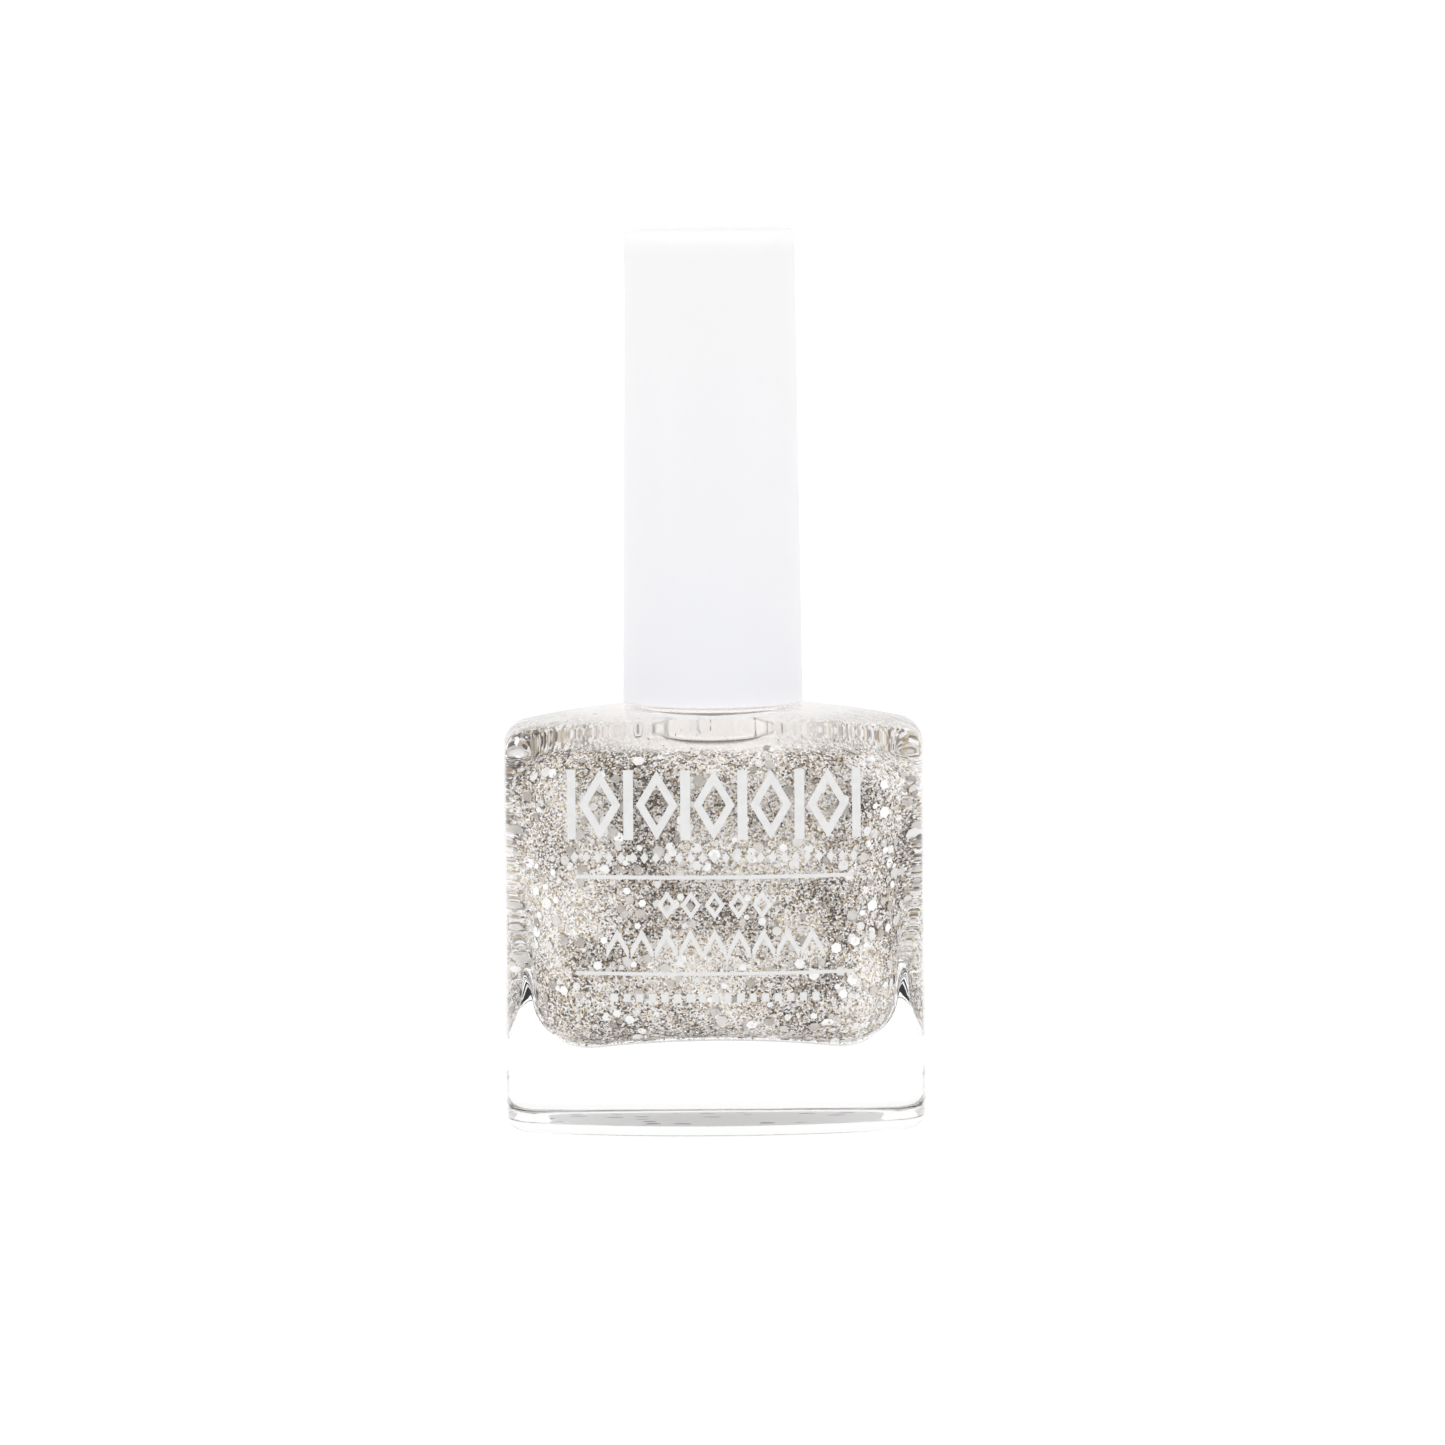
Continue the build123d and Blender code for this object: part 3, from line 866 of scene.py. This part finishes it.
def seats(count):
    """Random places on the lacquer under the glass, as points and outward normals, and the
    generator that picked them."""
    rows, _ = lacquer_rows()
    grid = np.array(rows[FIRST_SEAT_ROW:])
    a = grid[:-1]
    across = np.roll(a, -1, axis=1) - a
    down = grid[1:] - a
    normal = np.cross(down, across)
    area = np.linalg.norm(normal, axis=2)
    share = np.where(a[:, :, 2] > THINNED_ABOVE, THINNED_SHARE, 1.0) * area
    chances = share.ravel() / share.sum()
    picker = np.random.default_rng(SEED + count)
    chosen = picker.choice(len(chances), size=count, p=chances)
    row, column = np.unravel_index(chosen, area.shape)
    u, v = picker.random(count)[:, None], picker.random(count)[:, None]
    points = a[row, column] + across[row, column] * u + down[row, column] * v
    normals = normal[row, column] / area[row, column][:, None]
    facing = np.sign(((points - LACQUER_MIDDLE) * normals).sum(1))[:, None]
    return points, normals * facing, picker


def make_flakes(name, material, count, radii, thickness, lift, tilt):
    """Flat hexagonal flakes, as closed thin prisms between the lacquer and the glass."""
    points, normals, picker = seats(count)
    helper = np.where(np.abs(normals[:, 2:3]) < 0.9, [[0, 0, 1.0]], [[1.0, 0, 0]])
    first = np.cross(normals, helper)
    first /= np.linalg.norm(first, axis=1)[:, None]
    second = np.cross(normals, first)
    lean = picker.normal(0, tilt, (count, 2))
    up = normals + first * lean[:, :1] + second * lean[:, 1:]
    up /= np.linalg.norm(up, axis=1)[:, None]
    first = np.cross(up, helper)
    first /= np.linalg.norm(first, axis=1)[:, None]
    second = np.cross(up, first)
    spin = picker.random(count)[:, None] * math.pi
    size = picker.random(count)[:, None] ** FLAKE_SIZE_BIAS
    size = radii[0] + (radii[1] - radii[0]) * size
    steepness = np.sqrt(1 - np.clip((up * normals).sum(1), 0, 1) ** 2)[:, None]
    room = np.clip(GLITTER_DEPTH - FLAKE_CLEARANCE - size * steepness, 0.0, None)
    height = np.minimum(lift * picker.random(count)[:, None] + thickness, room)
    centre = points + normals * height
    corners = []
    for side in (0.5, -0.5):
        for corner in range(6):
            angle = spin + corner * math.pi / 3
            corners.append(
                centre + (first * np.cos(angle) + second * np.sin(angle)) * size
                + up * thickness * side
            )
    vertices = np.stack(corners, 1).reshape(-1, 3)
    faces = []
    for number in range(count):
        base = number * 12
        faces.append(tuple(base + c for c in range(6)))
        faces.append(tuple(base + 6 + c for c in reversed(range(6))))
        for corner in range(6):
            after = (corner + 1) % 6
            faces.append((base + after, base + corner, base + 6 + corner, base + 6 + after))
    flakes = piece_from(name, vertices, faces, "bottle", [material], smooth=False)


# ---------------------------------------------------------------- print

def on_front(x, height, lift):
    """A point on the body's front face, or lift above it."""
    offset = FRONT_ARC_RADIUS - BODY_DEPTH / 2
    return (x, offset - math.sqrt((FRONT_ARC_RADIUS + lift) ** 2 - x * x), height)


class Ink:
    """Collects flat printed shapes as thin closed solids wrapped on the front face."""

    def __init__(self):
        self.vertices, self.faces = [], []

    def strip(self, first, second, closed=False):
        """A shape between two lines of (x, height) points with the same number of points."""
        base, count = len(self.vertices), len(first)
        for lift in (INK_THICKNESS, -INK_BURY):
            for line in (first, second):
                self.vertices += [on_front(x, height, lift) for x, height in line]
        front_a, front_b, back_a, back_b = (base + k * count for k in range(4))
        steps = count if closed else count - 1
        for step in range(steps):
            after = (step + 1) % count
            self.faces += [
                (front_a + step, front_a + after, front_b + after, front_b + step),
                (back_a + after, back_a + step, back_b + step, back_b + after),
                (front_a + after, front_a + step, back_a + step, back_a + after),
                (front_b + step, front_b + after, back_b + after, back_b + step),
            ]
        if not closed:
            last = count - 1
            self.faces += [
                (front_a, front_b, back_b, back_a),
                (front_b + last, front_a + last, back_a + last, back_b + last),
            ]

    def bar(self, x0, x1, z0, z1):
        """A filled rectangle, cut across so that it follows the curved face."""
        count = max(2, round((x1 - x0) / BAR_STEP) + 1)
        xs = [x0 + (x1 - x0) * k / (count - 1) for k in range(count)]
        self.strip([(x, z1) for x in xs], [(x, z0) for x in xs])

    def lozenge(self, x, z, half_width, half_height, line):
        """A lozenge outline whose line is given as a share of its size."""
        points = []
        corners = [(half_width, 0), (0, half_height), (-half_width, 0), (0, -half_height)]
        for (ax, az), (bx, bz) in zip(corners, corners[1:] + corners[:1]):
            points += [(ax + (bx - ax) * k / 4, az + (bz - az) * k / 4) for k in range(4)]
        inner = 1 - line
        self.strip(
            [(x + px, z + pz) for px, pz in points],
            [(x + px * inner, z + pz * inner) for px, pz in points], True,
        )

    def dot(self, x, z, half_width, half_height):
        """A filled lozenge. Its lower half is a hair smaller, so that its ends aren't lines."""
        low_half, low_z = half_width * 0.98, z - 0.01
        self.strip(
            [(x - half_width, z), (x, z + half_height), (x + half_width, z)],
            [(x - low_half, low_z), (x, z - half_height), (x + low_half, low_z)],
        )

    def chevron(self, x, z, half_width, half_height, line):
        """A pointed arch."""
        self.strip(
            [(x - half_width, z - half_height + line), (x - half_width / 2, z + line / 2),
             (x, z + half_height), (x + half_width / 2, z + line / 2),
             (x + half_width, z - half_height + line)],
            [(x - half_width, z - half_height), (x - half_width / 2, z - line / 2),
             (x, z + half_height - line), (x + half_width / 2, z - line / 2),
             (x + half_width, z - half_height)],
        )


def make_print():
    """A generic ornament: a frieze of lozenges and bars, two rules, and rows of small marks."""
    ink = Ink()
    height, reach = FRIEZE["height"], FRIEZE["half"][1]
    for number in range(-2, 3):
        ink.lozenge(number * FRIEZE["pitch"], height, *FRIEZE["half"], FRIEZE["line"])
    for number in range(-3, 3):
        x = (number + 0.5) * FRIEZE["pitch"]
        half = FRIEZE_BARS["outer" if number in (-3, 2) else "inner"]
        ink.bar(x - half, x + half, height - reach, height + reach)
    for number in range(-12, 13):
        ink.dot(number * DOTS["pitch"], DOTS["height"], *DOTS["half"])
    ink.bar(-RULE_HALF, RULE_HALF, *RULES[0])
    for number in range(-2, 3):
        x = number * LOZENGES["pitch"]
        ink.lozenge(x, LOZENGES["height"], *LOZENGES["half"], LOZENGES["line"])
    for number in range(-4, 5):
        x = number * CHEVRONS["pitch"]
        ink.chevron(x, CHEVRONS["height"], *CHEVRONS["half"], CHEVRONS["line"])
    ink.bar(-RULE_HALF, RULE_HALF, *RULES[1])
    for number in range(-8, 9):
        x = number * DASHES["pitch"]
        ink.bar(x - DASHES["half"], x + DASHES["half"], *DASHES["heights"])
    piece = piece_from(
        "front_print", ink.vertices, ink.faces, "bottle", [ink_material()], smooth=False
    )


# ---------------------------------------------------------------- brush

def make_bristles():
    """Nylon filaments folded into the rod's end, swelling and closing to a rounded tip."""
    rng = random.Random(SEED)
    vertices, faces = [], []
    sides, joints_along = FILAMENT_SIDES, FILAMENT_JOINTS
    for number in range(FILAMENTS):
        share = math.sqrt((number + 0.5) / FILAMENTS)
        angle = number * GOLDEN_ANGLE
        thickness = 0.055 + 0.01 * rng.random()
        drop = TUFT_TIP + 1.4 * share**3 + 0.5 * rng.random() * share
        wander = rng.uniform(-0.05, 0.05)
        ring_start = len(vertices)
        for joint in range(joints_along + 1):
            along = joint / joints_along
            height = TUFT_ROOT_TOP + (drop - TUFT_ROOT_TOP) * along
            free = max(0.0, (ROD_END - height) / (ROD_END - TUFT_TIP))
            bulge = TUFT_RADIUS - TUFT_CLEARANCE - TUFT_ROOT_RADIUS
            swell = TUFT_ROOT_RADIUS + bulge * math.sin(
                math.pi / 2 * min(1.0, free / SWELL_END)
            )
            if free > TAPER_START:
                swell *= 1 - TAPER * ((free - TAPER_START) / (1 - TAPER_START)) ** 1.5
            radius = swell * share * 0.96
            turn = angle + wander * free * 4
            x, y = radius * math.cos(turn), radius * math.sin(turn)
            slim = thickness * (1 - 0.5 * max(0.0, along - SLIM_START) / (1 - SLIM_START))
            for side in range(sides):
                around = 2 * math.pi * side / sides
                vertices.append(
                    (x + slim * math.cos(around), y + slim * math.sin(around), height)
                )
        for joint in range(joints_along):
            low = ring_start + joint * sides
            for side in range(sides):
                after = (side + 1) % sides
                faces.append((low + after, low + side, low + sides + side, low + sides + after))
        last = ring_start + joints_along * sides
        faces.append(tuple(ring_start + side for side in range(sides)))
        faces.append(tuple(last + side for side in reversed(range(sides))))
    tuft = piece_from("bristle_filaments", vertices, faces, "brush", [bristle_material()])
    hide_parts("bristle_tuft")


# ---------------------------------------------------------------- carried-over CAD nodes

def dress(node, material):
    """Gives a CAD node its detailed material."""
    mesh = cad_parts[node].data
    for index in range(len(mesh.materials)):
        mesh.materials[index] = material


def dress_nodes():
    # The overcap's lighter, warmer top is painted light, where light falls on it from above.
    dress("overcap", plastic_material(
        "overcap_look", rgb(237, 237, 242), 0.42, grain=0.6, depth=0.003, glow=0.8,
        lit_top_colour=rgb(245, 243, 243),
    ))
    dress("inner_cap", plastic_material("inner_cap_look", rgb(226, 226, 224), 0.4))
    dress("brush_stem", plastic_material("stem_look", rgb(216, 208, 202), 0.34))
    dress("sealing_liner", plastic_material("liner_look", rgb(238, 236, 230), 0.7, depth=0.02))
    dress("mixing_balls", steel_material("ball_steel_look", (0.62, 0.62, 0.63), 0.08))
    dress("anchor_staple", steel_material("staple_look", (0.72, 0.68, 0.58), 0.25))
    dress("base_label", label_material())


# ---------------------------------------------------------------- studio

# In metres, degrees, millimetres of lens and watts
FLOOR_HALF = 3.0
FLOOR_DROP = 0.00005
LIT_POINT = Vector((0, 0, 0.035))
SOFTBOX_SIZE = (0.6, 0.8)
SOFTBOXES = (("key_left", (-0.45, -0.85, 0.5), 0.5), ("fill_right", (0.5, -0.8, 0.45), 0.4))
CAMERA_DISTANCE = 0.685
CAMERA_HEIGHT = 0.0882
CAMERA_LENS = 200.3
CAMERA_TARGET = (0.0008, 0.0, 0.0341)
CAMERA_ROLL = -0.45


def make_floor():
    """A plain pale floor that glows a little, so that it meets the white surroundings."""
    half = FLOOR_HALF
    mesh = bpy.data.meshes.new("studio_floor")
    mesh.from_pydata(
        [(-half, -half, 0), (half, -half, 0), (half, half, 0), (-half, half, 0)], [],
        [(0, 1, 2, 3)],
    )
    n = Nodes("studio_floor_look")
    n.set(
        Base_Color=(0.55, 0.55, 0.55, 1), Roughness=0.8, Specular_IOR_Level=0.2,
        Emission_Color=WHITE, Emission_Strength=0.55,
    )
    mesh.materials.append(n.material)
    floor = bpy.data.objects.new("studio_floor", mesh)
    floor.location = (0, 0, -FLOOR_DROP)
    bpy.context.scene.collection.objects.link(floor)


def make_world():
    """White surroundings, a little darker straight in front of the bottle."""
    world = bpy.data.worlds.new("studio_world")
    world.use_nodes = True
    nodes, links = world.node_tree.nodes, world.node_tree.links
    nodes.clear()
    place = nodes.new("ShaderNodeTexCoord")
    axes = nodes.new("ShaderNodeSeparateXYZ")
    links.new(place.outputs["Generated"], axes.inputs[0])
    facing = nodes.new("ShaderNodeMapRange")
    facing.inputs["From Min"].default_value = -1.0
    facing.inputs["From Max"].default_value = -0.85
    links.new(axes.outputs["Y"], facing.inputs["Value"])
    ramp = nodes.new("ShaderNodeValToRGB")
    ramp.color_ramp.elements[0].color = (0.85, 0.84, 0.83, 1)
    ramp.color_ramp.elements[1].color = WHITE
    links.new(facing.outputs[0], ramp.inputs[0])
    around = nodes.new("ShaderNodeBackground")
    links.new(ramp.outputs[0], around.inputs["Color"])
    seen = nodes.new("ShaderNodeBackground")
    seen.inputs["Color"].default_value = WHITE
    path = nodes.new("ShaderNodeLightPath")
    mix = nodes.new("ShaderNodeMixShader")
    links.new(path.outputs["Is Camera Ray"], mix.inputs[0])
    links.new(around.outputs[0], mix.inputs[1])
    links.new(seen.outputs[0], mix.inputs[2])
    out = nodes.new("ShaderNodeOutputWorld")
    links.new(mix.outputs[0], out.inputs["Surface"])
    bpy.context.scene.world = world


def make_softbox(name, place, power):
    """A rectangular lamp aimed at the bottle's middle."""
    light = bpy.data.lights.new(name, "AREA")
    light.shape = "RECTANGLE"
    light.size, light.size_y = SOFTBOX_SIZE
    light.energy = power
    lamp = bpy.data.objects.new(name, light)
    lamp.location = place
    lamp.rotation_euler = (LIT_POINT - Vector(place)).to_track_quat("-Z", "Y").to_euler()
    lamp.visible_camera = False
    bpy.context.scene.collection.objects.link(lamp)


def make_camera():
    """A long lens in front of the bottle, a little above it."""
    data = bpy.data.cameras.new("camera")
    data.lens = CAMERA_LENS
    data.sensor_width = 36.0
    data.clip_start, data.clip_end = 0.05, 20.0
    camera = bpy.data.objects.new("camera", data)
    place = Vector((0.0, -CAMERA_DISTANCE, CAMERA_HEIGHT))
    turn = (Vector(CAMERA_TARGET) - place).to_track_quat("-Z", "Y").to_matrix().to_4x4()
    roll = Matrix.Rotation(math.radians(CAMERA_ROLL), 4, "Z")
    camera.matrix_world = Matrix.Translation(place) @ turn @ roll
    bpy.context.scene.collection.objects.link(camera)
    bpy.context.scene.camera = camera


def make_studio():
    bpy.context.scene.view_settings.view_transform = "Standard"
    make_floor()
    make_world()
    for name, place, power in SOFTBOXES:
        make_softbox(name, place, power)
    make_camera()


# ---------------------------------------------------------------- build

make_glass()
make_lacquer()
make_flakes("hex_flakes", flake_material("hex_flake_look", HEX_SHADES, 0.35), **HEX_FLAKES)
make_flakes(
    "fine_flakes", flake_material("fine_flake_look", GLITTER_SHADES[2:], 0.4), **FINE_FLAKES
)
make_print()
make_bristles()
dress_nodes()
make_studio()

bpy.context.view_layer.update()
